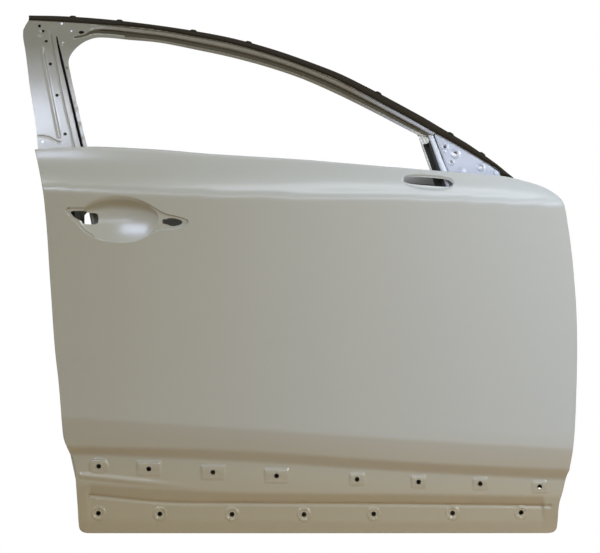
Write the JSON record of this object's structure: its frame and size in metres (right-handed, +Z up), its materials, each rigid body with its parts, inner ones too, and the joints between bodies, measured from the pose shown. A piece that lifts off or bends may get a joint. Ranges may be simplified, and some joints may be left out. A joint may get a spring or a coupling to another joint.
{
  "type": "car door shell",
  "caption": "Bare pressed-steel shell of a car's right-hand front door with window frame, pull-handle bowl, clip holes for a lower cladding and open inner panel.",
  "frame": {"origin": "on the outer face of the front end wall of the inner panel, midway between the two bolt holes of the upper hinge", "axes": "+X towards the front of the car, +Z up, the painted outer side towards -Y"},
  "size_m": [1.2017, 0.1789, 1.1242],
  "materials": {
    "pearl_body_paint": "satin pearl grey-beige electrocoat",
    "primed_steel": "matt primer on pressed steel",
    "zinc_plate": "zinc plated",
    "dark_trim": "matt black",
    "mastic": "matt black"
  },
  "bodies": {
    "root": {"belt_reinforcement_inner": "primed_steel", "belt_reinforcement_outer": "primed_steel", "check_arm_plate": "primed_steel", "division_bar": "pearl_body_paint", "flutter_pad_1": "mastic", "flutter_pad_2": "mastic", "flutter_pad_3": "mastic", "front_channel_bracket": "primed_steel", "front_run_channel": "primed_steel", "handle_reinforcement": "primed_steel", "header_retainer": "dark_trim", "header_run_channel": "primed_steel", "hinge_reinforcement_lower": "primed_steel", "hinge_reinforcement_upper": "primed_steel", "impact_beam": "primed_steel", "impact_beam_bracket_front": "primed_steel", "impact_beam_bracket_rear": "primed_steel", "inner_panel": "primed_steel", "latch_reinforcement": "primed_steel", "mirror_corner_inner": "primed_steel", "mirror_corner_panel": "pearl_body_paint", "mirror_mount_plate": "primed_steel", "mirror_slot_reinforcement": "primed_steel", "outer_panel": "pearl_body_paint", "rear_channel_bracket": "primed_steel", "rear_run_channel": "primed_steel", "weatherstrip_clip_1": "dark_trim", "weatherstrip_clip_2": "dark_trim", "weatherstrip_clip_3": "dark_trim", "weatherstrip_clip_4": "dark_trim", "weatherstrip_clip_5": "dark_trim", "weatherstrip_clip_6": "dark_trim", "weatherstrip_clip_7": "dark_trim", "weld_nut_lower_bottom": "zinc_plate", "weld_nut_lower_top": "zinc_plate", "weld_nut_upper_bottom": "zinc_plate", "weld_nut_upper_top": "zinc_plate", "window_frame_inner": "primed_steel", "window_frame_outer": "pearl_body_paint"}
  },
  "joints": []
}
